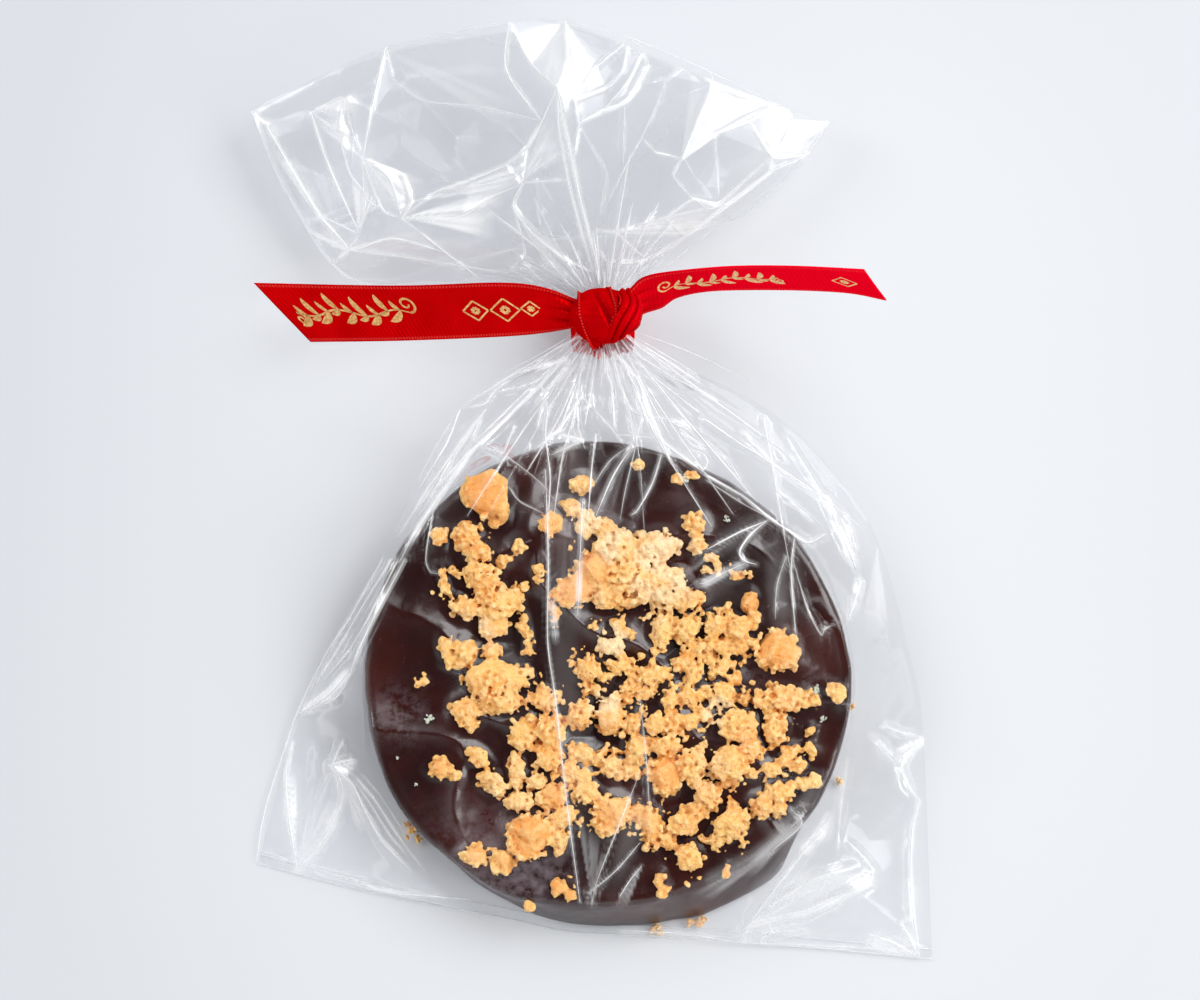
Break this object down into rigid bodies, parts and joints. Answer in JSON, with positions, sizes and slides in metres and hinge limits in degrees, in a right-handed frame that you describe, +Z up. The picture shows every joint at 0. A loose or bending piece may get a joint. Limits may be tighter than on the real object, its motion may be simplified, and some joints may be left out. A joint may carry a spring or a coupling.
{
  "type": "nougat chocolate cookie",
  "caption": "Round dark chocolate cookie topped with nougat crumbs, lying in a clear film bag gathered at the neck and tied with a satin ribbon.",
  "frame": {"origin": "on the table under the middle of the cookie, on its flat underside", "axes": "+Z up from the table, +Y from the cookie through the ribbon to the bag's mouth, +X to the right seen from above"},
  "size_m": [0.1197, 0.1648, 0.0191],
  "materials": {
    "cookie": "glossy dark chocolate under pale golden nougat crumbs",
    "film": "thin clear crinkled film",
    "satin": "red satin with a stitched edge"
  },
  "bodies": {
    "root": {"cookie": "cookie", "bag": "film", "ribbon": "satin"}
  },
  "joints": []
}
